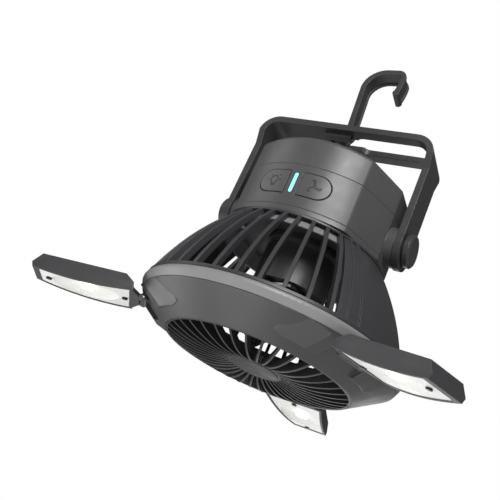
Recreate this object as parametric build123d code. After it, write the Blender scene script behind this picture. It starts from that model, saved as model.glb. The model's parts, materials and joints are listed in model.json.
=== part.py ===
from build123d import *

# Portable camping fan that hangs from a folding hook.
# A U-shaped bracket carries a tilting head: a control housing, a ribbed intake cage,
# an outlet ring with a domed grille, and three hinged light panels.
#
# Everything is modelled on the fan's own axis (Z up, X along the tilt pivots, the control
# panel faces -Y, height 0 at the widest seam of the outlet ring). It is saved in the part's
# frame, whose origin is the hook's seat: the inside top of the hook's bend.

import os
from math import atan2, cos, degrees, radians, sin, sqrt

os.makedirs("parts", exist_ok=True)

# ---- shared clearances (mm) -------------------------------------------------
RUNNING = 0.05            # radial clearance of a shaft or pin that turns in its hole
SEAM = 0.2                # visible gap between two mouldings
SIDE_GAP = 0.4            # sideways gap beside a part that turns

# ---- outlet ring and grille -------------------------------------------------
RING_TOP_R = 88.5         # light band, upper edge
RING_TOP_Z = 7.15
RING_TOP_FILLET = 2.2
RING_SEAM_R = 85.0        # seam between the light band and the dark band, at height 0
OPENING_R = 62.3          # grille opening
OPENING_Z = -15.2
RING_WALL_RISE = 2.6      # vertical thickness of the dark band's sloping wall
DUCT_R = 66.3             # inner duct wall
DUCT_WALL = 2.0
DUCT_TOP_Z = 13.0
BAND_THICK = 3.8          # light band, measured along the radius
BAND_SHELF_R = 80.0       # inner edge of the light band's top shelf
BAND_SHELF_THICK = 2.2

FIN_COUNT = 38
FIN_THICK = 1.3
FIN_HEIGHT = 4.6
FIN_ROOT_Z = -17.0        # lower edge of a fin at the hub
FIN_BELLY_R = 43.0        # where the fins dome out furthest
FIN_BELLY_Z = -19.1
FIN_RIM_Z = -15.0
GRILLE_HUB_R = 18.0
GRILLE_HUB_WALL = 2.6
GRILLE_RIM_THICK = 1.7
GRILLE_RIM_TOP_Z = -7.7
GRILLE_FLANGE_R = 66.0
GRILLE_FLANGE_Z = -9.7
HUB_CAP_Z = -17.4
HUB_CAP_THICK = 1.8

# ---- light panel hinges on the outlet ring ----------------------------------
HINGE_R = 80.54           # the light panels' hinge axis
HINGE_Z = -6.79
HINGE_EAR_R = 2.2
HINGE_EAR_HALF = 4.5
HINGE_PIN_R = 1.0
HINGE_PIN_HALF = 9.3
LOBE_RIM_R = 86.4         # outer edge of the raised lobe that each hinge sits in
LOBE_RIM_Z = -2.4
LOBE_FOOT_R = 72.0
LOBE_FOOT_Z = -12.0
LOBE_END_R = 69.0         # where a lobe runs out into the dark band
LOBE_SPREAD = ((40.0, 6.5), (22.0, -0.95), (12.0, -7.0))    # a lobe's cut, seen along the band's slope
LOBE_SLOT_HALF = 14.0

# ---- intake cage ------------------------------------------------------------
CAGE_FOOT_R = 86.0
CAGE_MID_R = 73.8
CAGE_MID_Z = 38.0
CAGE_TOP_R = 54.4
CAGE_TOP_Z = 66.6
CAGE_FOOT_RING = 5.0      # radial width of the foot ring
CAGE_FOOT_THICK = 2.0
RIB_PITCH = 9.4           # degrees between ribs
CAGE_TOP_RING_R = 50.7    # inside of the ring that joins the ribs' upper ends
CAGE_TOP_RING_Z = 66.2
FRONT_RIB_PAIRS = 5       # ribs each side of the middle
BACK_RIB_PAIRS = 8
RIB_THICK = 2.3
RIB_DEPTH = 4.6
SIDE_WALL = 2.6           # closed walls of the cage under the pivots
SIDE_WALL_SET_BACK = 1.2  # behind the ribs' outer edges
SIDE_WALL_FRONT = -44.8   # azimuths of the right wall's two ends
SIDE_WALL_BACK = 13.5
RIDGE_AZIMUTHS = (-40.0, -34.0)
RIDGE_THICK = 1.6
COLLAR_LIP_R = 50.5
COLLAR_LIP_THICK = 1.1
COLLAR_THROAT_R = 49.6    # outside of the collar's cone, under its lip
COLLAR_MOUTH_R = 55.4
COLLAR_MOUTH_Z = 59.5
COLLAR_WALL = 2.0

# ---- control housing --------------------------------------------------------
HEAD_BOTTOM_Z = 67.8
BASE_TOP_Z = 71.3
COVER_SEAM_Z = 101.0
HEAD_TOP_Z = 123.0
HEAD_CROWN = 1.6          # how much lower the crowned top is where the facets start
HEAD_FRONT = 54.0         # middle of the curved front and back, from the axis
HEAD_CORNER_X = 38.6      # where the curved front meets the facets
HEAD_CORNER_Y = 41.0
HEAD_SIDE_X = 53.5        # flat sides that carry the pivots
HEAD_SIDE_Y = 13.0
HEAD_WALL = 2.4
FRONT_CORNER_FILLET = 4.0
SIDE_EDGE_FILLET = 3.2
COVER_FILLET = 3.0
PILLAR_X = 38.5
PILLAR_Y = 22.0
PILLAR_R = 3.2
PILLAR_FOOT_Z = 71.7
PILLAR_TOP_Z = 119.8
CASE_SCREW_R = 1.4
CASE_SCREW_HEAD_R = 2.7
CASE_SCREW_HEAD = 1.6
CASE_SCREW_LENGTH = 16.0

# ---- pivots -----------------------------------------------------------------
PIVOT_Z = 84.6
BOSS_R = 13.0
BOSS_INNER_X = 47.0
JOURNAL_R = 6.0
JOURNAL_END_X = 65.1
WASHER_R = 9.6
WASHER_THICK = 0.8
CAP_R = 11.0
CAP_OUTER_X = 69.4
CAP_DOME = 1.2
CAP_CAVITY_R = 7.6
CAP_CAVITY = 2.4
PIVOT_SCREW_R = 1.5
PIVOT_SCREW_HEAD_R = 3.2
PIVOT_SCREW_HEAD = 2.0
PIVOT_SCREW_TIP_X = 49.0

# ---- bracket ----------------------------------------------------------------
BRACKET_X = 64.0          # outer faces of the arms
BRACKET_TOP_Z = 161.7
BRACKET_THICK = 4.5
BRACKET_CORNER = 14.0
BAR_HALF_DEPTH = 17.0
ARM_HALF_DEPTH = 13.2
ARM_END_R = 14.0
TAPER_TOP_Z = 149.0
TAPER_BOTTOM_Z = 139.0
SLOT_START_X = 6.0
SLOT_END_X = 59.5
SLOT_HALF_WIDTH = 9.2
SLOT_CORNER = 6.0
NOTCH_END_X = 61.2        # lets the hook's bend swing past the arm
NOTCH_BOTTOM_Z = 141.0
RECESS_START_X = -12.6
HINGE_BLOCK_X0 = -16.0
HINGE_BLOCK_X1 = 3.0
HINGE_BLOCK_HALF = 12.5
HINGE_BLOCK_BOTTOM_Z = 154.4

# ---- hook -------------------------------------------------------------------
HOOK_PIN_X = -8.0
HOOK_PIN_Z = 158.2
HOOK_PIN_R = 1.5
HOOK_KNUCKLE_R = 3.6
HOOK_WIDTH = 13.0
HOOK_THICK = 3.8
HOOK_WEB = 2.4            # thickness left between the two grooves
HOOK_GROOVE_HALF = 4.5
HOOK_ANKLE = (-3.2, 166.0)      # points on the ribbon's centre line, as (X, Z)
HOOK_ANKLE_R = 4.0
HOOK_BEND_START = (-5.9, 203.5)
HOOK_CROWN = (8.3, 219.8)
HOOK_CROWN_END = (15.6, 220.3)
HOOK_TURN_END = (20.5, 215.9)
HOOK_TIP = (19.2, 202.2)
HOOK_TIP_R = 2.4

# ---- buttons and electronics ------------------------------------------------
PANEL_Z = 87.6            # height of the control panel's middle
BUTTON_END_X = 23.8
BUTTON_INNER_X = 4.6
BUTTON_HALF_HEIGHT = 8.0
BUTTON_CORNER = 1.4
BUTTON_PROUD = 0.3
BUTTON_SKIN = 2.9
BUTTON_GAP = 0.55
BUTTON_FLANGE = 1.2
BUTTON_FLANGE_THICK = 1.0
BUTTON_TRAVEL = 1.0
BUTTON_X = 14.0
STEM_R = 2.0
LENS_HALF_WIDTH = 1.1
LENS_HALF_HEIGHT = 7.0
BOARD_FRONT_Y = -41.6
BOARD_THICK = 1.6
BOARD_HALF_X = 26.0
BOARD_HALF_Z = 12.5
SWITCH_SIZE = 6.0
SWITCH_DEPTH = 3.5
PLUNGER_R = 1.7
PLUNGER_LENGTH = 1.0
CELL_R = 9.2
CELL_LENGTH = 65.0
CELL_Z = 107.0
CELL_PITCH = 20.0
TRAY_BOTTOM_Z = 95.0
TRAY_TOP_Z = 102.0
TRAY_HALF_X = 34.5
TRAY_HALF_Y = 31.0
PORT_Z = 86.0
PORT_HALF_WIDTH = 4.5
PORT_HALF_HEIGHT = 1.6
PORT_DEPTH = 7.6
PORT_SHELL = 0.4
CHARGE_BOARD_HALF = 9.0
CHARGE_BOARD_DEPTH = 15.0

# ---- motor and impeller -----------------------------------------------------
MOTOR_R = 22.6
MOTOR_TOP_Z = 63.0
MOTOR_CUP_WALL = 2.0
MOTOR_CUP_BOTTOM_Z = 36.2
MOTOR_CUP_HOLE_R = 3.0
MOTOR_FLANGE_R = 29.5
MOTOR_FLANGE_Z = 62.3
MOTOR_FLANGE_THICK = 2.0
MOTOR_NECK_R = 27.0
SHAFT_R = 1.6
SHAFT_TOP_Z = 60.0
IMPELLER_R = 60.5
IMPELLER_BOTTOM_Z = 12.0
IMPELLER_TOP_Z = 33.5
IMPELLER_HUB_R = 20.0
IMPELLER_HUB_WALL = 2.0
IMPELLER_HUB_CORE_R = 5.0
BLADE_COUNT = 7
BLADE_START = 28.9        # azimuth of the first blade
BLADE_THICK = 2.0
BLADE_ROOT_CHORD = 30.0
BLADE_TIP_CHORD = 22.0
BLADE_ROOT_PITCH = 50.0   # degrees from the plane of rotation
BLADE_TIP_PITCH = 24.0
BLADE_ROOT_Z = 22.7       # middle of the blade's section
BLADE_TIP_Z = 15.4
BLADE_CAMBER = 0.09       # share of the chord
NUT_R = 6.0
NUT_BOTTOM_Z = 9.5

# ---- light panels -----------------------------------------------------------
PANEL_AZIMUTHS = {"left": -150.0, "right": -30.0, "back": 92.5}
PANEL_DROOPS = {"left": 9.3, "right": 9.3, "back": 2.8}
PANEL_ROOT_X = 6.84       # from the hinge axis, measured along the panel
PANEL_END_X = 69.2
PANEL_NOSE_X = 70.2       # nose, at the end of the crease along the panel's sides
PANEL_NOSE_Z = 1.1
PANEL_LIP_X = 7.61        # other end of the crease
PANEL_LIP_Z = 3.03
PANEL_TOP_ROOT_X = 13.41
PANEL_TOP_END_X = 65.5
PANEL_TOP_Z = 7.7
PANEL_RIM_Z = -1.7
PANEL_BELLY = 2.2         # how far the lower edge bows down at mid length
PANEL_ROOT_HALF = 22.4
PANEL_END_HALF = 13.2
PANEL_TOP_ROOT_HALF = 20.9
PANEL_TOP_END_HALF = 12.1
PANEL_WALL = 1.6
PANEL_END_BORDER = 3.6    # width of the shell's edge beyond the reflector
REFLECTOR_THICK = 1.5
REFLECTOR_INSET = 0.5
DISH_X = 36.2             # the reflector's oval dish
DISH_Z = -3.5
DISH_HALF = (22.0, 15.5, 3.8)
DISH_CUT_Z = -1.95
LIGHT_WINDOW = 8.6
LIGHT_X = 35.5
LIGHT_SIZE = 7.8
LIGHT_BOTTOM_Z = -2.3
LIGHT_BOARD_Z = 2.2
LIGHT_BOARD_THICK = 1.2
LIGHT_BOARD_X = (24.0, 48.0)
LIGHT_BOARD_HALF = 8.5
PANEL_SCREW_X = (11.7, 59.7)
PANEL_SCREW_R = 1.2
PANEL_SCREW_HEAD_R = 1.9
PANEL_SCREW_HEAD = 0.7
PANEL_SCREW_SEAT_GAP = 0.3
PANEL_SCREW_TOP_Z = 4.6
PANEL_POST_R = 2.6
KNUCKLE_R = 2.2
KNUCKLE_INNER = 4.9       # each shell has two knuckles, one each side of the ring's ear
KNUCKLE_OUTER = 9.5
BRIDGE_EAR_X = 2.9        # the bridge from the knuckles to the shell starts here beside the ear
BRIDGE_ROOT_HALF = 21.0
BRIDGE_TOP_Z = 0.8

# The hook's seat, on the fan's axis frame, is the part's origin.
SEAT_X = HOOK_CROWN[0]
SEAT_Z = HOOK_CROWN[1] - HOOK_THICK / 2

TOLERANCE = 1e-6


# ---- small helpers ----------------------------------------------------------
def save(name, shape):
    """Write one node in the part's frame."""
    shape = Pos(-SEAT_X, 0, -SEAT_Z) * shape
    shape.label = name
    export_step(shape, f"parts/{name}.step")


def block(x0, x1, y0, y1, z0, z1):
    """A box between two corners."""
    middle = Pos((x0 + x1) / 2, (y0 + y1) / 2, (z0 + z1) / 2)
    return middle * Box(x1 - x0, y1 - y0, z1 - z0)


def disc(radius, z0, z1, x=0, y=0):
    """An upright cylinder between two heights."""
    return Pos(x, y, (z0 + z1) / 2) * Cylinder(radius, z1 - z0)


def tube(outer, inner, z0, z1):
    """An upright ring between two heights."""
    return disc(outer, z0, z1) - disc(inner, z0, z1)


def rod_x(radius, x0, x1, z):
    """A cylinder along X at y = 0."""
    return Pos((x0 + x1) / 2, 0, z) * Rot(0, 90, 0) * Cylinder(radius, abs(x1 - x0))


def rod_y(radius, y0, y1, x, z):
    """A cylinder along Y."""
    return Pos(x, (y0 + y1) / 2, z) * Rot(90, 0, 0) * Cylinder(radius, abs(y1 - y0))


def turned(*points):
    """A solid of revolution about Z from (radius, height) points."""
    return revolve(Plane.XZ * make_face(Polyline(*points, close=True)), Axis.Z)


def both_sides(shape):
    """The shape and its mirror image across the YZ plane."""
    return [shape, mirror(shape, Plane.YZ)]


def around(shape, angles):
    """Copies of a shape turned about Z to each angle."""
    return [Rot(0, 0, angle) * shape for angle in angles]


# ---- outlet ring ------------------------------------------------------------
def band_surface_z(radius):
    """Height of the dark band's outer surface at a radius."""
    return OPENING_Z * (RING_SEAM_R - radius) / (RING_SEAM_R - OPENING_R)


def hinge_ear():
    """The ear that a light panel's knuckles turn about, for a panel that points along +X."""
    slope = degrees(atan2(-OPENING_Z, RING_SEAM_R - OPENING_R))
    depth = RING_WALL_RISE + HINGE_EAR_R / 2
    stem = Rot(0, -slope, 0) * block(-HINGE_EAR_R, HINGE_EAR_R, -HINGE_EAR_HALF, HINGE_EAR_HALF, 0, depth)
    eye = rod_y(HINGE_EAR_R, -HINGE_EAR_HALF, HINGE_EAR_HALF, 0, 0)
    hole = rod_y(HINGE_PIN_R, -HINGE_EAR_HALF, HINGE_EAR_HALF, 0, 0)
    return Pos(HINGE_R, 0, HINGE_Z) * (stem + eye - hole)


def hinge_lobe():
    """The low raised lobe on the dark band that a hinge sits in, with a slot for the hinge."""
    raised = turned(
        (RING_SEAM_R - BAND_THICK / 2, band_surface_z(RING_SEAM_R - BAND_THICK / 2) + 1),
        (RING_SEAM_R, 0),
        (LOBE_RIM_R, LOBE_RIM_Z),
        (LOBE_FOOT_R, LOBE_FOOT_Z),
        (LOBE_END_R, band_surface_z(LOBE_END_R)),
        (LOBE_END_R, band_surface_z(LOBE_END_R) + 1),
    )
    slope = atan2(-OPENING_Z, RING_SEAM_R - OPENING_R)
    middle_r = (LOBE_RIM_R + LOBE_END_R) / 2
    band = Plane(
        origin=(middle_r, 0, band_surface_z(middle_r)), x_dir=(0, 1, 0), z_dir=(cos(slope), 0, sin(slope))
    )
    left = [(-half, height) for half, height in LOBE_SPREAD]
    outline = Polyline(*left, *reversed(LOBE_SPREAD), close=True)
    spread = extrude(band * make_face(outline), LOBE_RIM_R - LOBE_END_R, both=True)
    slot = block(LOBE_END_R - 1, RING_TOP_R, -LOBE_SLOT_HALF, LOBE_SLOT_HALF, 2 * OPENING_Z, 1)
    return (raised & spread) - slot


def make_front_ring():
    inner_z = OPENING_Z + RING_WALL_RISE
    duct_r = DUCT_R + DUCT_WALL
    ring = turned(
        (RING_SEAM_R, 0),
        (OPENING_R, OPENING_Z),
        (OPENING_R, inner_z),
        (DUCT_R, band_surface_z(DUCT_R) + RING_WALL_RISE),
        (DUCT_R, DUCT_TOP_Z),
        (duct_r, DUCT_TOP_Z),
        (duct_r, band_surface_z(duct_r) + RING_WALL_RISE),
        (RING_SEAM_R - BAND_THICK, 0),
    )
    azimuths = PANEL_AZIMUTHS.values()
    return ring.fuse(*around(hinge_lobe(), azimuths), *around(hinge_ear(), azimuths))


def make_upper_ring():
    inner_r = RING_SEAM_R - BAND_THICK
    shelf_z = RING_TOP_Z - BAND_SHELF_THICK
    slope = (RING_TOP_R - RING_SEAM_R) / RING_TOP_Z
    ring = turned(
        (RING_TOP_R, RING_TOP_Z),
        (RING_SEAM_R + slope * SEAM, SEAM),
        (inner_r, SEAM),
        (inner_r + slope * shelf_z, shelf_z),
        (BAND_SHELF_R, shelf_z),
        (BAND_SHELF_R, RING_TOP_Z),
    )
    top_edges = ring.edges().group_by(Axis.Z)[-1].sort_by(SortBy.LENGTH)
    return fillet(top_edges[-1], RING_TOP_FILLET)


def make_front_grille():
    rim_outer = OPENING_R - SEAM
    rim = turned(
        (rim_outer - GRILLE_RIM_THICK, OPENING_Z),
        (rim_outer, OPENING_Z),
        (rim_outer, GRILLE_FLANGE_Z),
        (GRILLE_FLANGE_R, GRILLE_FLANGE_Z),
        (GRILLE_FLANGE_R, GRILLE_RIM_TOP_Z),
        (rim_outer - GRILLE_RIM_THICK, GRILLE_RIM_TOP_Z),
    )
    hub = tube(GRILLE_HUB_R, GRILLE_HUB_R - GRILLE_HUB_WALL, FIN_ROOT_Z, FIN_ROOT_Z + FIN_HEIGHT)
    start_r = GRILLE_HUB_R - GRILLE_HUB_WALL / 2
    end_r = rim_outer - GRILLE_RIM_THICK / 2
    lower = ThreePointArc((start_r, FIN_ROOT_Z), (FIN_BELLY_R, FIN_BELLY_Z), (end_r, FIN_RIM_Z))
    upper = Pos(0, FIN_HEIGHT) * lower
    ends = [Line(lower @ 0, upper @ 0), Line(lower @ 1, upper @ 1)]
    fin = extrude(Plane.XZ * make_face([lower, upper, *ends]), FIN_THICK / 2, both=True)
    fins = around(fin, [index * 360 / FIN_COUNT for index in range(FIN_COUNT)])
    return rim.fuse(hub, *fins)


def make_grille_hub_cap():
    cap = disc(GRILLE_HUB_R - GRILLE_HUB_WALL, HUB_CAP_Z, HUB_CAP_Z + HUB_CAP_THICK)
    return fillet(cap.edges().group_by(Axis.Z)[0], HUB_CAP_THICK / 3)


# ---- intake cage ------------------------------------------------------------
def cage_shell(set_back, thickness):
    """A wall along the cage's bowed cone, set back from its outer surface."""
    def bow(depth):
        return ThreePointArc(
            (CAGE_FOOT_R - depth, RING_TOP_Z),
            (CAGE_MID_R - depth, CAGE_MID_Z),
            (CAGE_TOP_R - depth, CAGE_TOP_Z),
        )
    outer = bow(set_back)
    inner = bow(set_back + thickness)
    ends = [Line(outer @ 0, inner @ 0), Line(outer @ 1, inner @ 1)]
    return revolve(Plane.XZ * make_face([outer, inner, *ends]), Axis.Z)


def cage_blade(depth, thickness):
    """An upright blade along +X that reaches in from the cage's outer surface."""
    blank = block(0, CAGE_FOOT_R, -thickness / 2, thickness / 2, RING_TOP_Z, CAGE_TOP_Z)
    return cage_shell(0, depth) & blank


def rib_offsets(pairs):
    return [(index - pairs + 0.5) * RIB_PITCH for index in range(2 * pairs)]


def make_fan_cage():
    foot_ring = tube(CAGE_FOOT_R, CAGE_FOOT_R - CAGE_FOOT_RING, RING_TOP_Z, RING_TOP_Z + CAGE_FOOT_THICK)
    reach = 1.3 * CAGE_FOOT_R
    corners = [
        (reach * cos(radians(azimuth)), reach * sin(radians(azimuth)))
        for azimuth in (SIDE_WALL_FRONT, SIDE_WALL_BACK)
    ]
    wedge = extrude(make_face(Polyline((0, 0), *corners, close=True)), CAGE_TOP_Z)
    wall = cage_shell(SIDE_WALL_SET_BACK, SIDE_WALL) & wedge
    ridge = cage_blade(SIDE_WALL_SET_BACK + SIDE_WALL, RIDGE_THICK)
    wall = wall.fuse(*around(ridge, RIDGE_AZIMUTHS))
    angles = [-90 + offset for offset in rib_offsets(FRONT_RIB_PAIRS)]
    angles += [90 + offset for offset in rib_offsets(BACK_RIB_PAIRS)]
    rib = cage_blade(RIB_DEPTH, RIB_THICK)
    top_ring = tube(CAGE_TOP_R, CAGE_TOP_RING_R, CAGE_TOP_RING_Z, HEAD_BOTTOM_Z)
    return foot_ring.fuse(top_ring, *both_sides(wall), *around(rib, angles))


def make_intake_collar():
    """A cone just inside the ribs, with a small lip under the head's base."""
    lip_z = HEAD_BOTTOM_Z - COLLAR_LIP_THICK
    return turned(
        (COLLAR_MOUTH_R - COLLAR_WALL, COLLAR_MOUTH_Z),
        (COLLAR_MOUTH_R, COLLAR_MOUTH_Z),
        (COLLAR_THROAT_R, lip_z),
        (COLLAR_LIP_R, lip_z),
        (COLLAR_LIP_R, HEAD_BOTTOM_Z),
        (COLLAR_THROAT_R - COLLAR_WALL, HEAD_BOTTOM_Z),
    )


# ---- control housing --------------------------------------------------------
def head_outline(inset=0.0):
    """The housing's plan outline: curved front and back, facets and flat sides."""
    fl = (-HEAD_CORNER_X, -HEAD_CORNER_Y)
    fr = (HEAD_CORNER_X, -HEAD_CORNER_Y)
    rf = (HEAD_SIDE_X, -HEAD_SIDE_Y)
    rb = (HEAD_SIDE_X, HEAD_SIDE_Y)
    br = (HEAD_CORNER_X, HEAD_CORNER_Y)
    bl = (-HEAD_CORNER_X, HEAD_CORNER_Y)
    lb = (-HEAD_SIDE_X, HEAD_SIDE_Y)
    lf = (-HEAD_SIDE_X, -HEAD_SIDE_Y)
    edges = [
        ThreePointArc(fl, (0, -HEAD_FRONT), fr),
        Line(fr, rf),
        Line(rf, rb),
        Line(rb, br),
        ThreePointArc(br, (0, HEAD_FRONT), bl),
        Line(bl, lb),
        Line(lb, lf),
        Line(lf, fl),
    ]
    outline = make_face(edges)
    corners = outline.vertices().filter_by(lambda v: abs(v.X) < HEAD_SIDE_X - 1)
    outline = fillet(corners, FRONT_CORNER_FILLET)
    sides = outline.vertices().filter_by(
        lambda v: abs(abs(v.X) - HEAD_SIDE_X) < TOLERANCE and abs(abs(v.Y) - HEAD_SIDE_Y) < TOLERANCE
    )
    outline = fillet(sides, SIDE_EDGE_FILLET)
    if inset:
        outline = offset(outline, -inset)
    return outline


def head_prism(z0, z1, inset=0.0):
    return Pos(0, 0, z0) * extrude(head_outline(inset), z1 - z0)


def button_face(grow=0.0):
    """The right button's outline in the XZ plane, grown by a margin."""
    height = 2 * (BUTTON_HALF_HEIGHT + grow)
    end_r = BUTTON_HALF_HEIGHT + grow
    inner_x = BUTTON_INNER_X - grow
    centre_x = BUTTON_END_X - BUTTON_HALF_HEIGHT
    body = Pos((inner_x + centre_x) / 2, PANEL_Z) * RectangleRounded(
        centre_x - inner_x + 2 * BUTTON_CORNER, height, BUTTON_CORNER
    )
    body = body + Pos(centre_x, PANEL_Z) * Circle(end_r)
    keep = Pos(inner_x + BUTTON_END_X, PANEL_Z) * Rectangle(2 * BUTTON_END_X, 2 * height)
    return body & keep


def button_prism(grow=0.0):
    """The right button's outline pushed through the front wall."""
    return extrude(Plane.XZ * button_face(grow), HEAD_FRONT + 5)


def lens_prism(grow=0.0):
    half = LENS_HALF_WIDTH + grow
    face = Pos(0, PANEL_Z) * RectangleRounded(2 * half, 2 * (LENS_HALF_HEIGHT + grow), half * 0.95)
    return extrude(Plane.XZ * face, HEAD_FRONT + 5)


def front_half(shape):
    return shape & block(-BRACKET_X, BRACKET_X, -2 * HEAD_FRONT, 0, 0, HEAD_TOP_Z)


def make_head_base():
    plate = head_prism(HEAD_BOTTOM_Z, BASE_TOP_Z)
    wire_hole = disc(IMPELLER_HUB_CORE_R, HEAD_BOTTOM_Z, BASE_TOP_Z)
    plate -= wire_hole
    for x in (-PILLAR_X, PILLAR_X):
        for y in (-PILLAR_Y, PILLAR_Y):
            plate -= disc(CASE_SCREW_R + RUNNING, HEAD_BOTTOM_Z, BASE_TOP_Z, x, y)
    return plate


def make_head_housing():
    z0 = BASE_TOP_Z + SEAM
    shell = head_prism(z0, COVER_SEAM_Z) - head_prism(z0, COVER_SEAM_Z, HEAD_WALL)
    arm_face = BRACKET_X - BRACKET_THICK
    boss = rod_x(BOSS_R, BOSS_INNER_X, arm_face - SIDE_GAP, PIVOT_Z)
    boss += rod_x(JOURNAL_R, BOSS_INNER_X, JOURNAL_END_X, PIVOT_Z)
    for side in both_sides(boss):
        shell += side
    shell -= rod_x(PIVOT_SCREW_R, -JOURNAL_END_X, JOURNAL_END_X, PIVOT_Z)
    for prism in both_sides(button_prism(BUTTON_GAP)) + [lens_prism()]:
        shell -= prism
    port = block(
        -PORT_HALF_WIDTH, PORT_HALF_WIDTH, 0, 2 * HEAD_FRONT,
        PORT_Z - PORT_HALF_HEIGHT, PORT_Z + PORT_HALF_HEIGHT,
    )
    return shell - fillet(port.edges().filter_by(Axis.Y), PORT_HALF_HEIGHT * 0.9)


def crown(depth=0.0):
    """A long drum whose upper side is the head's gently crowned top, or a wall below it."""
    radius = (HEAD_CORNER_X ** 2 + HEAD_CROWN ** 2) / (2 * HEAD_CROWN)
    return rod_y(radius - depth, -2 * HEAD_FRONT, 2 * HEAD_FRONT, 0, HEAD_TOP_Z - radius)


def make_top_cover():
    z0 = COVER_SEAM_Z + SEAM
    outer = head_prism(z0, HEAD_TOP_Z) & crown()
    outer = fillet(outer.faces().sort_by(Axis.Z)[-1].edges(), COVER_FILLET)
    cover = outer - (head_prism(z0, HEAD_TOP_Z, HEAD_WALL) & crown(HEAD_WALL))
    for x in (-PILLAR_X, PILLAR_X):
        for y in (-PILLAR_Y, PILLAR_Y):
            cover += disc(PILLAR_R, PILLAR_FOOT_Z, PILLAR_TOP_Z, x, y)
            cover -= disc(CASE_SCREW_R, PILLAR_FOOT_Z, HEAD_BOTTOM_Z + CASE_SCREW_LENGTH, x, y)
    return cover


def make_case_screws():
    screws = []
    for x in (-PILLAR_X, PILLAR_X):
        for y in (-PILLAR_Y, PILLAR_Y):
            head = disc(CASE_SCREW_HEAD_R, HEAD_BOTTOM_Z - CASE_SCREW_HEAD, HEAD_BOTTOM_Z, x, y)
            shank = disc(CASE_SCREW_R, HEAD_BOTTOM_Z, HEAD_BOTTOM_Z + CASE_SCREW_LENGTH, x, y)
            screws.append(head + shank)
    return Compound(children=screws)


def make_fan_button():
    """The right-hand button: a curved cap, a flange behind the wall and a stem."""
    cap = button_prism() & (head_prism(BASE_TOP_Z, COVER_SEAM_Z, -BUTTON_PROUD)
                            - head_prism(BASE_TOP_Z, COVER_SEAM_Z, BUTTON_SKIN))
    flange_back = BUTTON_SKIN + BUTTON_FLANGE_THICK
    flange = button_prism(BUTTON_FLANGE) & (head_prism(BASE_TOP_Z, COVER_SEAM_Z, BUTTON_SKIN)
                                            - head_prism(BASE_TOP_Z, COVER_SEAM_Z, flange_back))
    switch_front = BOARD_FRONT_Y - SWITCH_DEPTH - PLUNGER_LENGTH
    stem_end = switch_front - BUTTON_TRAVEL - SEAM
    stem = rod_y(STEM_R, stem_end, -HEAD_FRONT + flange_back + 1, BUTTON_X, PANEL_Z)
    return front_half(cap + flange) + stem


def make_indicator_lens():
    skin = head_prism(BASE_TOP_Z, COVER_SEAM_Z) & lens_prism()
    back = BOARD_FRONT_Y - SWITCH_DEPTH
    keep = block(-BUTTON_X, BUTTON_X, -2 * HEAD_FRONT, back, 0, HEAD_TOP_Z)
    return skin & keep


def make_circuit_board():
    return block(
        -BOARD_HALF_X, BOARD_HALF_X, BOARD_FRONT_Y, BOARD_FRONT_Y + BOARD_THICK,
        PANEL_Z - BOARD_HALF_Z, PANEL_Z + BOARD_HALF_Z,
    )


def make_button_switches():
    half = SWITCH_SIZE / 2
    switch_front = BOARD_FRONT_Y - SWITCH_DEPTH
    body = block(
        BUTTON_X - half, BUTTON_X + half, switch_front, BOARD_FRONT_Y, PANEL_Z - half, PANEL_Z + half
    )
    plunger = rod_y(PLUNGER_R, switch_front - PLUNGER_LENGTH, switch_front, BUTTON_X, PANEL_Z)
    return Compound(children=both_sides(body + plunger))


def cell_centres():
    return [(index - 1) * CELL_PITCH for index in range(3)]


def make_battery_cells():
    half = CELL_LENGTH / 2
    cells = [Pos(0, y, 0) * rod_x(CELL_R, -half, half, CELL_Z) for y in cell_centres()]
    return Compound(children=cells)


def make_battery_tray():
    tray = block(-TRAY_HALF_X, TRAY_HALF_X, -TRAY_HALF_Y, TRAY_HALF_Y, TRAY_BOTTOM_Z, TRAY_TOP_Z)
    for y in cell_centres():
        tray -= Pos(0, y, 0) * rod_x(CELL_R + SEAM, -TRAY_HALF_X, TRAY_HALF_X, CELL_Z)
    return tray


def make_charging_socket():
    """The metal shell of the charging inlet, in the back wall."""
    back = HEAD_FRONT - SEAM
    inner = SEAM
    outer = block(
        -PORT_HALF_WIDTH + inner, PORT_HALF_WIDTH - inner, back - PORT_DEPTH, back,
        PORT_Z - PORT_HALF_HEIGHT + inner, PORT_Z + PORT_HALF_HEIGHT - inner,
    )
    outer = fillet(outer.edges().filter_by(Axis.Y), (PORT_HALF_HEIGHT - inner) * 0.9)
    inner += PORT_SHELL
    hollow = block(
        -PORT_HALF_WIDTH + inner, PORT_HALF_WIDTH - inner, back - PORT_DEPTH + 1, back + 1,
        PORT_Z - PORT_HALF_HEIGHT + inner, PORT_Z + PORT_HALF_HEIGHT - inner,
    )
    hollow = fillet(hollow.edges().filter_by(Axis.Y), (PORT_HALF_HEIGHT - inner) * 0.9)
    return outer - hollow


def make_charging_board():
    top = PORT_Z - PORT_HALF_HEIGHT
    back = HEAD_FRONT - HEAD_WALL - 1
    half = CHARGE_BOARD_HALF
    return block(-half, half, back - CHARGE_BOARD_DEPTH, back, top - BOARD_THICK, top)


# ---- pivots -----------------------------------------------------------------
def make_pivot_cap():
    start = JOURNAL_END_X
    cap = rod_x(CAP_R, start, CAP_OUTER_X, PIVOT_Z)
    rim = cap.faces().sort_by(Axis.X)[-1].edges()
    cap = chamfer(rim, CAP_DOME)
    return cap - rod_x(CAP_CAVITY_R, start, start + CAP_CAVITY, PIVOT_Z)


def make_pivot_washer():
    start = BRACKET_X + SIDE_GAP / 2
    ring = rod_x(WASHER_R, start, start + WASHER_THICK, PIVOT_Z)
    return ring - rod_x(JOURNAL_R + RUNNING, start, start + WASHER_THICK, PIVOT_Z)


def make_pivot_screw():
    head = rod_x(PIVOT_SCREW_HEAD_R, JOURNAL_END_X, JOURNAL_END_X + PIVOT_SCREW_HEAD, PIVOT_Z)
    return head + rod_x(PIVOT_SCREW_R, PIVOT_SCREW_TIP_X, JOURNAL_END_X, PIVOT_Z)


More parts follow.
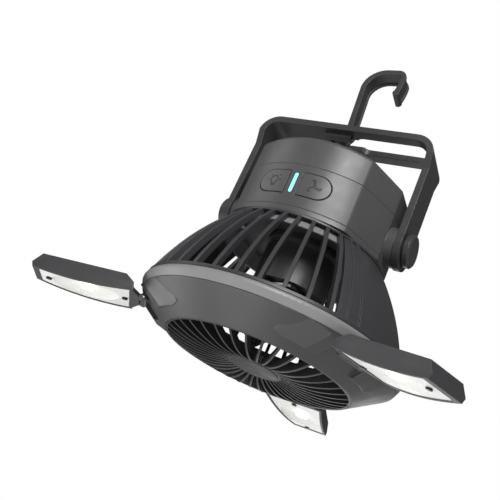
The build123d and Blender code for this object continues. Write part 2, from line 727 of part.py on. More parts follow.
# ---- bracket and hook -------------------------------------------------------
def arch(half_width, top_z, corner, depth):
    """A solid arch outline that reaches down past the arm ends."""
    low_z = PIVOT_Z - 2 * ARM_END_R
    blank = block(-half_width, half_width, -depth, depth, low_z, top_z)
    top_edges = blank.edges().filter_by(Axis.Y).group_by(Axis.Z)[-1]
    return fillet(top_edges, corner)


def make_bracket():
    inner_x = BRACKET_X - BRACKET_THICK
    strip = arch(BRACKET_X, BRACKET_TOP_Z, BRACKET_CORNER, BAR_HALF_DEPTH)
    strip -= arch(inner_x, BRACKET_TOP_Z - BRACKET_THICK, BRACKET_CORNER - BRACKET_THICK, 2 * BAR_HALF_DEPTH)
    side = make_face(Polyline(
        (-ARM_HALF_DEPTH, PIVOT_Z),
        (-ARM_HALF_DEPTH, TAPER_BOTTOM_Z),
        (-BAR_HALF_DEPTH, TAPER_TOP_Z),
        (-BAR_HALF_DEPTH, BRACKET_TOP_Z),
        (BAR_HALF_DEPTH, BRACKET_TOP_Z),
        (BAR_HALF_DEPTH, TAPER_TOP_Z),
        (ARM_HALF_DEPTH, TAPER_BOTTOM_Z),
        (ARM_HALF_DEPTH, PIVOT_Z),
        close=True,
    ))
    side = side + Pos(0, PIVOT_Z) * Circle(ARM_END_R)
    strip &= extrude(Plane.YZ * side, BRACKET_X, both=True)
    strip += block(
        HINGE_BLOCK_X0, HINGE_BLOCK_X1, -HINGE_BLOCK_HALF, HINGE_BLOCK_HALF,
        HINGE_BLOCK_BOTTOM_Z, BRACKET_TOP_Z - BRACKET_THICK / 2,
    )
    slot = block(SLOT_START_X, SLOT_END_X, -SLOT_HALF_WIDTH, SLOT_HALF_WIDTH, TAPER_TOP_Z, BRACKET_TOP_Z)
    slot = fillet(slot.edges().filter_by(Axis.Z), SLOT_CORNER)
    recess_half = HOOK_WIDTH / 2 + SIDE_GAP
    recess = block(
        RECESS_START_X, SLOT_START_X + SLOT_CORNER, -recess_half, recess_half, TAPER_TOP_Z, BRACKET_TOP_Z
    )
    notch = block(
        SLOT_END_X - SLOT_CORNER, NOTCH_END_X, -recess_half, recess_half, NOTCH_BOTTOM_Z, BRACKET_TOP_Z
    )
    strip = strip - slot - recess - notch
    strip -= rod_y(HOOK_PIN_R, -HINGE_BLOCK_HALF, HINGE_BLOCK_HALF, HOOK_PIN_X, HOOK_PIN_Z)
    return strip - rod_x(JOURNAL_R + RUNNING, -BRACKET_X, BRACKET_X, PIVOT_Z)


def make_hook_pin():
    length = HINGE_BLOCK_HALF - SEAM
    return rod_y(HOOK_PIN_R, -length, length, HOOK_PIN_X, HOOK_PIN_Z)


def make_hook():
    """A ribbon bent into a J, grooved on both faces, with an eye for the pin at its foot."""
    stem = FilletPolyline((HOOK_PIN_X, HOOK_PIN_Z), HOOK_ANKLE, HOOK_BEND_START, radius=HOOK_ANKLE_R)
    bend = TangentArc(HOOK_BEND_START, HOOK_CROWN, tangent=stem % 1)
    crown_line = Line(HOOK_CROWN, HOOK_CROWN_END)
    turn = TangentArc(HOOK_CROWN_END, HOOK_TURN_END, tangent=crown_line % 1)
    tip = TangentArc(HOOK_TURN_END, HOOK_TIP, tangent=turn % 1)
    centre_line = [*stem.edges(), bend, crown_line, turn, tip]
    half = HOOK_WIDTH / 2
    ribbon = Plane.XZ * trace(centre_line, HOOK_THICK)
    web = Plane.XZ * trace(centre_line, HOOK_WEB)
    hook = extrude(ribbon, half, both=True) - extrude(ribbon, HOOK_GROOVE_HALF, both=True)
    hook += extrude(web, half, both=True)
    hook += rod_y(HOOK_KNUCKLE_R, -half, half, HOOK_PIN_X, HOOK_PIN_Z)
    hook += rod_y(HOOK_TIP_R, -half, half, *HOOK_TIP)
    return hook - rod_y(HOOK_PIN_R + RUNNING, -HOOK_WIDTH, HOOK_WIDTH, HOOK_PIN_X, HOOK_PIN_Z)


# ---- motor and impeller -----------------------------------------------------
def make_motor():
    bottom_z = MOTOR_CUP_BOTTOM_Z + MOTOR_CUP_WALL
    return disc(MOTOR_R, bottom_z, MOTOR_TOP_Z) - disc(SHAFT_R + RUNNING, bottom_z, SHAFT_TOP_Z + 1)


def make_motor_housing():
    """The cup around the motor, hung from the head's base by a flanged neck."""
    cup = disc(MOTOR_R + MOTOR_CUP_WALL, MOTOR_CUP_BOTTOM_Z, MOTOR_FLANGE_Z)
    cup += disc(MOTOR_FLANGE_R, MOTOR_FLANGE_Z, MOTOR_FLANGE_Z + MOTOR_FLANGE_THICK)
    cup += disc(MOTOR_NECK_R, MOTOR_FLANGE_Z, HEAD_BOTTOM_Z)
    cup -= disc(MOTOR_R, MOTOR_CUP_BOTTOM_Z + MOTOR_CUP_WALL, HEAD_BOTTOM_Z)
    return cup - disc(MOTOR_CUP_HOLE_R, MOTOR_CUP_BOTTOM_Z, HEAD_BOTTOM_Z)


def make_motor_shaft():
    return disc(SHAFT_R, IMPELLER_BOTTOM_Z, SHAFT_TOP_Z)


def blade_section(radius, chord, pitch, middle_z):
    """A cambered blade section, square to a radius along X."""
    half = chord / 2
    rise = chord * BLADE_CAMBER
    lower = ThreePointArc((-half, 0), (0, rise), (half, 0))
    upper = ThreePointArc((-half, BLADE_THICK), (0, rise + BLADE_THICK), (half, BLADE_THICK))
    face = make_face([lower, Line(lower @ 1, upper @ 1), upper, Line(upper @ 0, lower @ 0)])
    plane = Plane(origin=(radius, 0, middle_z), x_dir=(0, 1, 0), z_dir=(1, 0, 0))
    return plane * (Rot(0, 0, pitch) * Pos(0, -rise / 2) * face)


def make_impeller():
    hub = disc(IMPELLER_HUB_R, IMPELLER_BOTTOM_Z, IMPELLER_TOP_Z)
    hub = fillet(hub.edges().group_by(Axis.Z)[0], IMPELLER_HUB_WALL * 2)
    floor_z = IMPELLER_BOTTOM_Z + 2 * IMPELLER_HUB_WALL
    hub -= tube(IMPELLER_HUB_R - IMPELLER_HUB_WALL, IMPELLER_HUB_CORE_R, floor_z, IMPELLER_TOP_Z)
    root_r = IMPELLER_HUB_R - IMPELLER_HUB_WALL / 2
    blade = loft([
        blade_section(root_r, BLADE_ROOT_CHORD, BLADE_ROOT_PITCH, BLADE_ROOT_Z),
        blade_section(IMPELLER_R + 1, BLADE_TIP_CHORD, BLADE_TIP_PITCH, BLADE_TIP_Z),
    ])
    blade &= tube(IMPELLER_R, root_r, 0, CAGE_TOP_Z)
    blades = around(blade, [BLADE_START + index * 360 / BLADE_COUNT for index in range(BLADE_COUNT)])
    return hub.fuse(*blades) - disc(SHAFT_R, 0, CAGE_TOP_Z)


def make_impeller_nut():
    nut = disc(NUT_R, NUT_BOTTOM_Z, IMPELLER_BOTTOM_Z)
    return fillet(nut.edges().group_by(Axis.Z)[0], NUT_R / 6)


# ---- light panels -----------------------------------------------------------
def belly_arc(lift):
    """The panel's bowed lower edge, drawn in the panel's side view."""
    middle_x = (PANEL_ROOT_X + PANEL_END_X) / 2
    z = PANEL_RIM_Z + lift
    return ThreePointArc((PANEL_ROOT_X, z), (middle_x, z - PANEL_BELLY), (PANEL_END_X, z))


def panel_plan(inset=0.0):
    """The panel's tapering plan: upright sides up to the crease, then leaning inwards."""
    def section(root_half, end_half, root_z, end_z):
        root_half -= inset
        end_half -= inset
        return make_face(Polyline(
            (PANEL_ROOT_X, -root_half, root_z), (PANEL_NOSE_X, -end_half, end_z),
            (PANEL_NOSE_X, end_half, end_z), (PANEL_ROOT_X, root_half, root_z), close=True,
        ))
    foot_z = PANEL_RIM_Z - 2 * PANEL_BELLY
    foot = section(PANEL_ROOT_HALF, PANEL_END_HALF, foot_z, foot_z)
    crease = section(PANEL_ROOT_HALF, PANEL_END_HALF, PANEL_LIP_Z, PANEL_NOSE_Z)
    top = section(PANEL_TOP_ROOT_HALF, PANEL_TOP_END_HALF, PANEL_TOP_Z, PANEL_TOP_Z)
    return loft([foot, crease, top], ruled=True)


def panel_body():
    belly = belly_arc(0)
    upper = Polyline(
        belly @ 1, (PANEL_NOSE_X, PANEL_NOSE_Z), (PANEL_TOP_END_X, PANEL_TOP_Z),
        (PANEL_TOP_ROOT_X, PANEL_TOP_Z), (PANEL_LIP_X, PANEL_LIP_Z), belly @ 0,
    )
    side = extrude(Plane.XZ * make_face([belly, upper]), PANEL_ROOT_HALF + 1, both=True)
    return side & panel_plan()


def panel_cavity(clearance=0.0):
    """The hollow under the shell, open below; shrunk by a clearance for what fills it."""
    inset = PANEL_WALL + clearance
    low_z = PANEL_RIM_Z - 2 * PANEL_BELLY
    end_x = PANEL_END_X - PANEL_END_BORDER - clearance
    outline = Polyline(
        (PANEL_ROOT_X + inset, low_z), (end_x, low_z), (end_x, PANEL_NOSE_Z),
        (PANEL_TOP_END_X - inset, PANEL_TOP_Z - inset), (PANEL_TOP_ROOT_X + inset / 2, PANEL_TOP_Z - inset),
        (PANEL_LIP_X + inset, PANEL_LIP_Z - inset / 2), close=True,
    )
    side = extrude(Plane.XZ * make_face(outline), PANEL_ROOT_HALF, both=True)
    return side & panel_plan(inset)


def knuckles_and_bridge():
    """Two knuckles on the hinge axis, and the flared bridge from them to the shell's root."""
    end_x = PANEL_ROOT_X + PANEL_WALL / 2
    outline = Polyline(
        (0, -KNUCKLE_OUTER), (BRIDGE_EAR_X, -KNUCKLE_OUTER), (end_x, -BRIDGE_ROOT_HALF),
        (end_x, BRIDGE_ROOT_HALF), (BRIDGE_EAR_X, KNUCKLE_OUTER), (0, KNUCKLE_OUTER), close=True,
    )
    bridge = Pos(0, 0, PANEL_RIM_Z) * extrude(make_face(outline), BRIDGE_TOP_Z - PANEL_RIM_Z)
    barrel = rod_y(KNUCKLE_R, -KNUCKLE_OUTER, KNUCKLE_OUTER, 0, 0)
    ear_room = block(-KNUCKLE_R, BRIDGE_EAR_X, -KNUCKLE_INNER, KNUCKLE_INNER, -2 * KNUCKLE_R, 2 * KNUCKLE_R)
    return bridge + barrel - ear_room


def make_panel_shell():
    shell = panel_body() - panel_cavity()
    for x in PANEL_SCREW_X:
        post = disc(PANEL_POST_R, PANEL_RIM_Z + REFLECTOR_INSET + REFLECTOR_THICK, PANEL_TOP_Z, x)
        shell += post & panel_body()
        shell -= disc(PANEL_SCREW_R, PANEL_RIM_Z - PANEL_BELLY, PANEL_SCREW_TOP_Z, x)
    shell += knuckles_and_bridge()
    return shell - rod_y(HINGE_PIN_R + RUNNING, -KNUCKLE_OUTER, KNUCKLE_OUTER, 0, 0)


def dish(grow=0.0):
    """The oval bowl of the reflector, or the bowl's outside."""
    half_x, half_y, half_z = DISH_HALF
    bowl = scale(Sphere(1), by=(half_x + grow, half_y + grow, half_z + grow))
    return Pos(DISH_X, 0, DISH_Z) * bowl


def make_reflector():
    low = belly_arc(REFLECTOR_INSET)
    high = belly_arc(REFLECTOR_INSET + REFLECTOR_THICK)
    ends = [Line(low @ 0, high @ 0), Line(low @ 1, high @ 1)]
    slab = extrude(Plane.XZ * make_face([low, high, *ends]), PANEL_ROOT_HALF, both=True)
    above = block(PANEL_ROOT_X, PANEL_END_X, -PANEL_ROOT_HALF, PANEL_ROOT_HALF, DISH_CUT_Z, PANEL_TOP_Z)
    slab += dish(REFLECTOR_THICK) & above
    slab = (slab & panel_cavity(SEAM)) - dish()
    half = LIGHT_WINDOW / 2
    foot_z = PANEL_RIM_Z - 2 * PANEL_BELLY
    slab -= block(LIGHT_X - half, LIGHT_X + half, -half, half, foot_z, PANEL_TOP_Z)
    for x in PANEL_SCREW_X:
        slab -= disc(PANEL_SCREW_R + RUNNING, foot_z, PANEL_TOP_Z, x)
    return slab


def make_light_board():
    x0, x1 = LIGHT_BOARD_X
    return block(
        x0, x1, -LIGHT_BOARD_HALF, LIGHT_BOARD_HALF, LIGHT_BOARD_Z, LIGHT_BOARD_Z + LIGHT_BOARD_THICK
    )


def make_light():
    half = LIGHT_SIZE / 2
    chip = block(LIGHT_X - half, LIGHT_X + half, -half, half, LIGHT_BOTTOM_Z, LIGHT_BOARD_Z)
    return fillet(chip.edges().filter_by(Axis.Z), half / 3)


def reflector_z(x):
    """Height of the reflector's lower face on the panel's middle line."""
    middle = (PANEL_ROOT_X + PANEL_END_X) / 2
    half = (PANEL_END_X - PANEL_ROOT_X) / 2
    radius = (half * half + PANEL_BELLY * PANEL_BELLY) / (2 * PANEL_BELLY)
    drop = sqrt(radius * radius - (x - middle) ** 2) - (radius - PANEL_BELLY)
    return PANEL_RIM_Z + REFLECTOR_INSET - drop


def make_panel_screws():
    screws = []
    for x in PANEL_SCREW_X:
        seat = reflector_z(x) - PANEL_SCREW_SEAT_GAP
        head = disc(PANEL_SCREW_HEAD_R, seat - PANEL_SCREW_HEAD, seat, x)
        screws.append(head + disc(PANEL_SCREW_R, seat, PANEL_SCREW_TOP_Z, x))
    return screws


def make_panel_pin():
    return rod_y(HINGE_PIN_R, -HINGE_PIN_HALF, HINGE_PIN_HALF, 0, 0)


def place_panel(side, shape):
    """Put a panel piece, drawn about its hinge, at its place on the ring."""
    droop = Rot(0, PANEL_DROOPS[side], 0)
    return Rot(0, 0, PANEL_AZIMUTHS[side]) * Pos(HINGE_R, 0, HINGE_Z) * droop * shape


# ---- write every node -------------------------------------------------------
save("hook", make_hook())
save("hook_pin", make_hook_pin())
save("bracket", make_bracket())

for side, mirrored in (("right", False), ("left", True)):
    for name, maker in (
        ("pivot_cap", make_pivot_cap),
        ("pivot_washer", make_pivot_washer),
        ("pivot_screw", make_pivot_screw),
    ):
        piece = maker()
        save(f"{name}_{side}", mirror(piece, Plane.YZ) if mirrored else piece)

save("head_base", make_head_base())
save("head_housing", make_head_housing())
save("top_cover", make_top_cover())
save("case_screws", make_case_screws())
save("fan_button", make_fan_button())
save("light_button", mirror(make_fan_button(), Plane.YZ))
save("indicator_lens", make_indicator_lens())
save("circuit_board", make_circuit_board())
save("button_switches", make_button_switches())
save("battery_cells", make_battery_cells())
save("battery_tray", make_battery_tray())
save("charging_socket", make_charging_socket())
save("charging_board", make_charging_board())

save("motor", make_motor())
save("motor_housing", make_motor_housing())
save("motor_shaft", make_motor_shaft())
save("impeller", make_impeller())
save("impeller_nut", make_impeller_nut())

save("intake_collar", make_intake_collar())
save("fan_cage", make_fan_cage())
save("upper_ring", make_upper_ring())
save("front_ring", make_front_ring())
save("front_grille", make_front_grille())
save("grille_hub_cap", make_grille_hub_cap())

for side in PANEL_AZIMUTHS:
    save(f"{side}_panel_shell", place_panel(side, make_panel_shell()))
    save(f"{side}_panel_reflector", place_panel(side, make_reflector()))
    save(f"{side}_panel_board", place_panel(side, make_light_board()))
    save(f"{side}_panel_light", place_panel(side, make_light()))
    save(f"{side}_panel_pin", place_panel(side, make_panel_pin()))
    placed = [place_panel(side, screw) for screw in make_panel_screws()]
    save(f"{side}_panel_screws", Compound(children=placed))
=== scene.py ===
import json
from math import cos, pi, radians, sin, sqrt

import bpy
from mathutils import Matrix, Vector


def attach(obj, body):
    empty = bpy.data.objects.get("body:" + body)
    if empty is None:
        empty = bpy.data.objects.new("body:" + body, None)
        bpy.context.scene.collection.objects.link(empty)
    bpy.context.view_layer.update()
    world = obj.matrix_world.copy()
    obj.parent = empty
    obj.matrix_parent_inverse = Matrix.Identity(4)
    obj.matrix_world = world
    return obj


# Camera, in metres and degrees in the part's frame, with its lens and sensor in millimetres.
CAMERA_PLACE = (0.18922, -0.41278, -0.34225)
CAMERA_TURN = (113.218, -22.921, 20.292)
CAMERA_LENS = 53.985
CAMERA_SENSOR = 36.0
CAMERA_REACH = 20.0

# Floor: a disc far under the hanging fan, and a lamp over it that shines straight down.
FLOOR_Z = -0.80
FLOOR_R = 3.0
FLOOR_SIDES = 64
WASH_PLACE = (0.0, 0.0, -0.50)
WASH_SIZE = 4.0
WASH_WATTS = 14.0

# Soft lights: azimuth and elevation in degrees round the aim, distance and size in metres, watts.
AIM = (-0.01, 0.0, -0.18)
LIGHTS = {
    "key": (-64.0, 25.0, 0.9, 0.50, 7.5),
    "low_left": (-170.0, -28.0, 0.6, 0.45, 1.5),
    "under": (-120.0, -62.0, 0.55, 0.40, 0.9),
    "high_left": (-150.0, 25.0, 0.9, 0.50, 0.9),
    "back": (100.0, -10.0, 0.9, 0.50, 0.7),
}
WHITE = (1, 1, 1, 1)
BACKDROP = 1.0            # brightness of the white background
AMBIENT = 0.09            # light that the background sends to the object

# Surface detail: noise scales in features per metre, edge radii and bump depths in metres.
EDGE_SAMPLES = 6
EDGE_MASK_FULL = 0.86          # cosine between the rounded and the true normal where the edge mask is full
EDGE_FLAT = 0.995         # the same where a surface counts as flat
PLASTIC_EDGE = 0.0006
PLASTIC_FLOW = 28.0
PLASTIC_FLOW_SHADE = 0.88
PLASTIC_GLOSS = 90.0
PLASTIC_GRAIN = 1700.0
PLASTIC_GRAIN_DEPTH = 0.00006
METAL_EDGE = 0.0002
METAL_SPOTS = 300.0
METAL_SPOT_SHADE = 0.7
METAL_GLOSS = 400.0
METAL_LINES = 900.0
METAL_LINE_STRETCH = (1, 1, 14)
METAL_LINE_DEPTH = 0.00003
RESIN_EDGE = 0.0004
RESIN_CLOUDS = 500.0
RESIN_CLOUD_SHADE = 0.8
RESIN_RIM_SHADE = 0.7
RESIN_GLOSS = 600.0
RESIN_ROUGHNESS = 0.2
RESIN_WAVES = 900.0
RESIN_WAVE_DEPTH = 0.00005
BOARD_TRACKS = 320.0
BOARD_TRACK_EDGES = (0.04, 0.08)
BOARD_GLOSS = 700.0
BOARD_TRACK_DEPTH = 0.00004
PAPER_CLOUDS = 3.0
PAPER_ROUGHNESS = 0.8

# The buttons' curved faces in the fan's own axis frame, in millimetres, as the CAD source draws them.
SEAT_X = 8.3
SEAT_Z = 217.9
FRONT_ARC_R = 63.8        # the housing's curved front, about a vertical line behind it
FRONT_ARC_Y = 9.8
BUTTON_PROUD = 0.3
PANEL_Z = 87.6
MM_PER_M = 1000

# Icons, in millimetres and degrees.
ICON_X = 13.8             # each icon's middle, from the fan's axis
ICON_LINE = 0.5           # width of the icons' lines
ARC_STEPS = 16
BULB_R = 2.5
BULB_RISE = 0.8           # the bulb's middle, above the buttons' middle
BULB_OPEN = 55            # how far down each side the bulb's arc runs
BULB_FOOT = 1.125         # half-width of the bulb's foot
BULB_THREADS = (1.2, 2.0) # depths of the foot's lines, in half-widths of the foot
RAY = (1.45, 2.0)         # a ray's two ends, in bulb radii
RAY_TURNS = (0, 45, 90, 135, 180)
FAN_HUB_R = 0.9
BLADE_R = 4.8
BLADE_TURNS = (90, 210, 330)
BLADE_SWEEP = 62.0
BLADE_LEAD = 0.12         # where along its outline a blade starts to bend forwards
BLADE_FULLNESS = 0.75
BLADE_STEPS = 18

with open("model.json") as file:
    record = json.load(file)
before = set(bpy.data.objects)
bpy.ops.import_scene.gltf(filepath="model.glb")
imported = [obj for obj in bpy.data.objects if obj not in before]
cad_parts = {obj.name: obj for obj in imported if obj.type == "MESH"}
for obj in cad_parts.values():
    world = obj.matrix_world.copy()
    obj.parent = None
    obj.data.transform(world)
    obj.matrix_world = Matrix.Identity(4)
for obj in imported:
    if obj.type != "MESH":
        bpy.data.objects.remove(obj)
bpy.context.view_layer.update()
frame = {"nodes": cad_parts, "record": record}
nodes = frame["nodes"]
node_slots = {row["node"]: row["material_slot"] for row in frame["record"]["subparts"]}


# ---- camera, lights and stage -----------------------------------------------
def make_camera():
    data = bpy.data.cameras.new("camera")
    data.lens = CAMERA_LENS
    data.sensor_width = CAMERA_SENSOR
    data.clip_end = CAMERA_REACH
    camera = bpy.data.objects.new("camera", data)
    camera.location = CAMERA_PLACE
    camera.rotation_euler = [radians(angle) for angle in CAMERA_TURN]
    bpy.context.collection.objects.link(camera)
    bpy.context.scene.camera = camera


def make_world():
    """A white background that lights the object less than it shows."""
    world = bpy.data.worlds.new("studio")
    world.use_nodes = True
    tree = world.node_tree
    seen = tree.nodes["Background"]
    seen.inputs["Color"].default_value = WHITE
    seen.inputs["Strength"].default_value = BACKDROP
    ambient = tree.nodes.new("ShaderNodeBackground")
    ambient.inputs["Color"].default_value = WHITE
    ambient.inputs["Strength"].default_value = AMBIENT
    path = tree.nodes.new("ShaderNodeLightPath")
    mix = tree.nodes.new("ShaderNodeMixShader")
    tree.links.new(path.outputs["Is Camera Ray"], mix.inputs[0])
    tree.links.new(ambient.outputs[0], mix.inputs[1])
    tree.links.new(seen.outputs[0], mix.inputs[2])
    tree.links.new(mix.outputs[0], tree.nodes["World Output"].inputs["Surface"])
    bpy.context.scene.world = world
    bpy.context.scene.view_settings.view_transform = "Standard"


def round_lamp(name, size, watts):
    """A soft round lamp, which shines straight down until it is turned."""
    data = bpy.data.lights.new(name, "AREA")
    data.shape = "DISK"
    data.size = size
    data.energy = watts
    lamp = bpy.data.objects.new(name, data)
    bpy.context.collection.objects.link(lamp)
    return lamp


def make_lights():
    for name, (azimuth, elevation, distance, size, watts) in LIGHTS.items():
        lamp = round_lamp(name, size, watts)
        flat = cos(radians(elevation))
        away = Vector((
            flat * cos(radians(azimuth)),
            flat * sin(radians(azimuth)),
            sin(radians(elevation)),
        ))
        lamp.location = Vector(AIM) + distance * away
        lamp.rotation_euler = away.to_track_quat("Z", "Y").to_euler()
    wash = round_lamp("floor_wash", WASH_SIZE, WASH_WATTS)
    wash.location = WASH_PLACE


def make_floor(material):
    rim = []
    for i in range(FLOOR_SIDES):
        angle = 2 * pi * i / FLOOR_SIDES
        rim.append((FLOOR_R * cos(angle), FLOOR_R * sin(angle), FLOOR_Z))
    mesh = bpy.data.meshes.new("floor")
    mesh.from_pydata(rim, [], [list(range(FLOOR_SIDES))])
    mesh.materials.append(material)
    floor = bpy.data.objects.new("floor", mesh)
    bpy.context.collection.objects.link(floor)


# ---- building blocks of the materials ---------------------------------------
def blank_material(name):
    material = bpy.data.materials.new(name)
    material.use_nodes = True
    return material, material.node_tree


def noise(tree, scale, detail=3.0, stretch=None):
    """A noise texture in the object's own coordinates."""
    place = tree.nodes.new("ShaderNodeTexCoord")
    texture = tree.nodes.new("ShaderNodeTexNoise")
    texture.inputs["Scale"].default_value = scale
    texture.inputs["Detail"].default_value = detail
    source = place.outputs["Object"]
    if stretch:
        mapping = tree.nodes.new("ShaderNodeMapping")
        mapping.inputs["Scale"].default_value = stretch
        tree.links.new(source, mapping.inputs["Vector"])
        source = mapping.outputs["Vector"]
    tree.links.new(source, texture.inputs["Vector"])
    return texture.outputs["Fac"]


def spread(tree, source, low, high, from_low=0.3, from_high=0.7):
    """Maps a value onto a range. A noise texture mostly stays between 0.3 and 0.7."""
    ramp = tree.nodes.new("ShaderNodeMapRange")
    ramp.inputs["From Min"].default_value = from_low
    ramp.inputs["From Max"].default_value = from_high
    ramp.inputs["To Min"].default_value = low
    ramp.inputs["To Max"].default_value = high
    tree.links.new(source, ramp.inputs["Value"])
    return ramp.outputs["Result"]


def patches(tree, scale, low=0.0, high=1.0, detail=3.0):
    """Noise that wanders between two values."""
    return spread(tree, noise(tree, scale, detail), low, high)


def shade(colour, factor):
    return [min(1.0, channel * factor) for channel in colour]


def blend_colours(tree, factor, first, second):
    """Mixes two colours. The first may also be another node's output."""
    mix = tree.nodes.new("ShaderNodeMix")
    mix.data_type = "RGBA"
    tree.links.new(factor, mix.inputs["Factor"])
    if isinstance(first, bpy.types.NodeSocket):
        tree.links.new(first, mix.inputs["A"])
    else:
        mix.inputs["A"].default_value = (*first, 1)
    mix.inputs["B"].default_value = (*second, 1)
    return mix.outputs["Result"]


def rounded_edges(tree, radius):
    """A rounded normal for sharp edges, and a mask that is 1 along them."""
    rounded = tree.nodes.new("ShaderNodeBevel")
    rounded.samples = EDGE_SAMPLES
    rounded.inputs["Radius"].default_value = radius
    flat = tree.nodes.new("ShaderNodeNewGeometry")
    match = tree.nodes.new("ShaderNodeVectorMath")
    match.operation = "DOT_PRODUCT"
    tree.links.new(rounded.outputs["Normal"], match.inputs[0])
    tree.links.new(flat.outputs["Normal"], match.inputs[1])
    mask = spread(tree, match.outputs["Value"], 1.0, 0.0, EDGE_MASK_FULL, EDGE_FLAT)
    return rounded.outputs["Normal"], mask


def bump(tree, height, strength, distance, normal=None):
    node = tree.nodes.new("ShaderNodeBump")
    node.inputs["Strength"].default_value = strength
    node.inputs["Distance"].default_value = distance
    tree.links.new(height, node.inputs["Height"])
    if normal:
        tree.links.new(normal, node.inputs["Normal"])
    return node.outputs["Normal"]


# ---- materials --------------------------------------------------------------
def moulded(name, colour, roughness, edge_highlight=1.6, grain=0.35):
    """Moulded plastic: fine spark-eroded grain, faint flow marks, rounded edges with a painted highlight
    along them.
    """
    material, tree = blank_material(name)
    shader = tree.nodes["Principled BSDF"]
    normal, edges = rounded_edges(tree, PLASTIC_EDGE)
    flow = patches(tree, PLASTIC_FLOW, detail=2.0)
    body = blend_colours(tree, flow, shade(colour, PLASTIC_FLOW_SHADE), colour)
    # painted highlight: the colour is lightened along sharp edges, standing in for light catching the
    # rounded edges
    edge_highlighted = blend_colours(tree, edges, body, shade(colour, edge_highlight))
    gloss = patches(tree, PLASTIC_GLOSS, roughness - 0.05, roughness + 0.06, detail=4.0)
    pores = noise(tree, PLASTIC_GRAIN, detail=4.0)
    grained = bump(tree, pores, grain, PLASTIC_GRAIN_DEPTH, normal)
    tree.links.new(edge_highlighted, shader.inputs["Base Color"])
    tree.links.new(gloss, shader.inputs["Roughness"])
    tree.links.new(grained, shader.inputs["Normal"])
    return material


def metal(name, colour, roughness):
    """Plated or blackened metal with fine drawn lines and dull spots."""
    material, tree = blank_material(name)
    shader = tree.nodes["Principled BSDF"]
    shader.inputs["Metallic"].default_value = 1.0
    normal = rounded_edges(tree, METAL_EDGE)[0]
    spots = blend_colours(tree, patches(tree, METAL_SPOTS), shade(colour, METAL_SPOT_SHADE), colour)
    gloss = patches(tree, METAL_GLOSS, roughness - 0.08, roughness + 0.1, detail=4.0)
    lines = noise(tree, METAL_LINES, stretch=METAL_LINE_STRETCH)
    drawn = bump(tree, lines, 0.3, METAL_LINE_DEPTH, normal)
    tree.links.new(spots, shader.inputs["Base Color"])
    tree.links.new(gloss, shader.inputs["Roughness"])
    tree.links.new(drawn, shader.inputs["Normal"])
    return material


def glowing(name, colour, light, strength):
    """A lit lens or light chip: clear resin over a bright source, dimmer towards its rim."""
    material, tree = blank_material(name)
    shader = tree.nodes["Principled BSDF"]
    shader.inputs["Emission Strength"].default_value = strength
    normal, edges = rounded_edges(tree, RESIN_EDGE)
    clouds = blend_colours(tree, patches(tree, RESIN_CLOUDS), shade(colour, RESIN_CLOUD_SHADE), colour)
    glow = blend_colours(tree, edges, light, shade(light, RESIN_RIM_SHADE))
    gloss = patches(tree, RESIN_GLOSS, RESIN_ROUGHNESS, RESIN_ROUGHNESS + 0.1)
    waves = bump(tree, noise(tree, RESIN_WAVES), 0.1, RESIN_WAVE_DEPTH, normal)
    tree.links.new(clouds, shader.inputs["Base Color"])
    tree.links.new(glow, shader.inputs["Emission Color"])
    tree.links.new(gloss, shader.inputs["Roughness"])
    tree.links.new(waves, shader.inputs["Normal"])
    return material


def circuit_board(name, mask, trace):
    """Solder mask over faint copper tracks."""
    material, tree = blank_material(name)
    shader = tree.nodes["Principled BSDF"]
    place = tree.nodes.new("ShaderNodeTexCoord")
    tracks = tree.nodes.new("ShaderNodeTexVoronoi")
    tracks.feature = "DISTANCE_TO_EDGE"
    tracks.inputs["Scale"].default_value = BOARD_TRACKS
    tree.links.new(place.outputs["Object"], tracks.inputs["Vector"])
    lines = spread(tree, tracks.outputs["Distance"], 1.0, 0.0, *BOARD_TRACK_EDGES)
    tree.links.new(blend_colours(tree, lines, mask, trace), shader.inputs["Base Color"])
    tree.links.new(patches(tree, BOARD_GLOSS, 0.25, 0.4), shader.inputs["Roughness"])
    tree.links.new(bump(tree, lines, 0.3, BOARD_TRACK_DEPTH), shader.inputs["Normal"])
    return material


def floor_paper():
    material, tree = blank_material("floor_paper")
    shader = tree.nodes["Principled BSDF"]
    clouds = blend_colours(tree, patches(tree, PAPER_CLOUDS), (0.86, 0.86, 0.86), (0.9, 0.9, 0.9))
    tree.links.new(clouds, shader.inputs["Base Color"])
    shader.inputs["Roughness"].default_value = PAPER_ROUGHNESS
    return material


def make_materials():
    """One material for each slot of the record."""
    return {
        "shell_dark": moulded("satin_charcoal", (0.050, 0.050, 0.053), 0.38),
        "shell_gray": moulded("satin_gray", (0.085, 0.085, 0.088), 0.36, edge_highlight=1.15),
        "band_gray": moulded("satin_light_gray", (0.26, 0.26, 0.265), 0.42, edge_highlight=1.25),
        "grille_black": moulded("black_plastic", (0.018, 0.018, 0.019), 0.38, edge_highlight=2.0),
        "impeller_black": moulded("smooth_black", (0.02, 0.02, 0.022), 0.25, edge_highlight=2.0, grain=0.1),
        "lens_cyan": glowing("lit_light_pipe", (0.25, 0.8, 0.75), (0.18, 0.82, 0.78), 1.1),
        "board_green": circuit_board("green_board", (0.01, 0.09, 0.03), (0.03, 0.2, 0.08)),
        "board_white": circuit_board("white_board", (0.72, 0.72, 0.70), (0.6, 0.6, 0.56)),
        "cell_wrap": moulded("shrink_wrap", (0.03, 0.12, 0.36), 0.22, edge_highlight=1.2, grain=0.15),
        "motor_can": metal("plated_can", (0.55, 0.55, 0.54), 0.3),
        "steel": metal("plated_steel", (0.6, 0.6, 0.6), 0.25),
        "screw_black": metal("black_steel", (0.05, 0.05, 0.05), 0.35),
        "reflector_white": moulded("white_reflector", (0.90, 0.90, 0.89), 0.3, edge_highlight=1.05, grain=0.15),
        "light_yellow": glowing("lit_chip", (0.95, 0.9, 0.5), (1.0, 0.97, 0.55), 2.2),
    }


def dress_nodes(materials):
    """Gives every CAD node the material of its slot."""
    for name, node in nodes.items():
        for slot in node.material_slots:
            slot.material = materials[node_slots[name]]


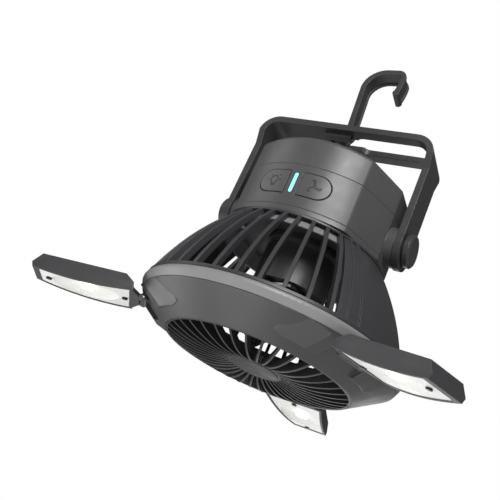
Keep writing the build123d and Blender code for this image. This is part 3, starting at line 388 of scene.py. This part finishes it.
# ---- icons on the buttons ---------------------------------------------------
def on_button(x, z):
    """A point of a button's face in metres, from the fan's own X and Z in millimetres."""
    radius = FRONT_ARC_R + BUTTON_PROUD
    y = FRONT_ARC_Y - sqrt(radius * radius - x * x)
    return ((x - SEAT_X) / MM_PER_M, y / MM_PER_M, (z - SEAT_Z) / MM_PER_M)


def round_point(centre_x, centre_z, radius, angle):
    """The point of a button's face at a radius and an angle, in radians, round a centre."""
    return on_button(centre_x + radius * cos(angle), centre_z + radius * sin(angle))


def arc_points(centre_x, centre_z, radius, start, end):
    step = (end - start) / ARC_STEPS
    return [
        round_point(centre_x, centre_z, radius, radians(start + step * i)) for i in range(ARC_STEPS + 1)
    ]


def line_piece(name, paths, width, body, material):
    """Thin raised lines, each path a list of points and whether it closes."""
    curve = bpy.data.curves.new(name, "CURVE")
    curve.dimensions = "3D"
    curve.bevel_depth = width / 2 / MM_PER_M
    curve.bevel_resolution = 2
    for points, closed in paths:
        spline = curve.splines.new("POLY")
        spline.points.add(len(points) - 1)
        for target, point in zip(spline.points, points):
            target.co = (*point, 1)
        spline.use_cyclic_u = closed
    curve.materials.append(material)
    piece = bpy.data.objects.new(name, curve)
    bpy.context.collection.objects.link(piece)
    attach(piece, body)


def bulb_icon(material):
    """A light bulb with rays, on the left button."""
    x = -ICON_X
    z = PANEL_Z + BULB_RISE
    neck = BULB_R * cos(radians(BULB_OPEN))
    low = z - BULB_R * sin(radians(BULB_OPEN))
    paths = [(arc_points(x, z, BULB_R, -BULB_OPEN, 180 + BULB_OPEN), False)]
    for side in (-1, 1):
        top = on_button(x + side * neck, low)
        bottom = on_button(x + side * BULB_FOOT, low - BULB_FOOT)
        paths.append(([top, bottom], False))
    for drop in BULB_THREADS:
        height = low - drop * BULB_FOOT
        paths.append(([on_button(x - BULB_FOOT, height), on_button(x + BULB_FOOT, height)], False))
    for turn in RAY_TURNS:
        ray = [round_point(x, z, reach * BULB_R, radians(turn)) for reach in RAY]
        paths.append((ray, False))
    line_piece("bulb_icon", paths, ICON_LINE, "light_button", material)


def fan_icon(material):
    """Three fan blades round a hub, on the right button."""
    paths = [(arc_points(ICON_X, PANEL_Z, FAN_HUB_R, 0, 360), True)]
    for turn in BLADE_TURNS:
        blade = []
        for i in range(BLADE_STEPS + 1):
            along = i / BLADE_STEPS
            angle = turn + BLADE_SWEEP * sin(pi * along) * (along - BLADE_LEAD)
            reach = FAN_HUB_R + (BLADE_R - FAN_HUB_R) * sin(pi * along) ** BLADE_FULLNESS
            blade.append(round_point(ICON_X, PANEL_Z, reach, radians(angle)))
        paths.append((blade, True))
    line_piece("fan_icon", paths, ICON_LINE, "fan_button", material)


make_camera()
make_world()
make_lights()
materials = make_materials()
dress_nodes(materials)
make_floor(floor_paper())
bulb_icon(materials["grille_black"])
fan_icon(materials["grille_black"])
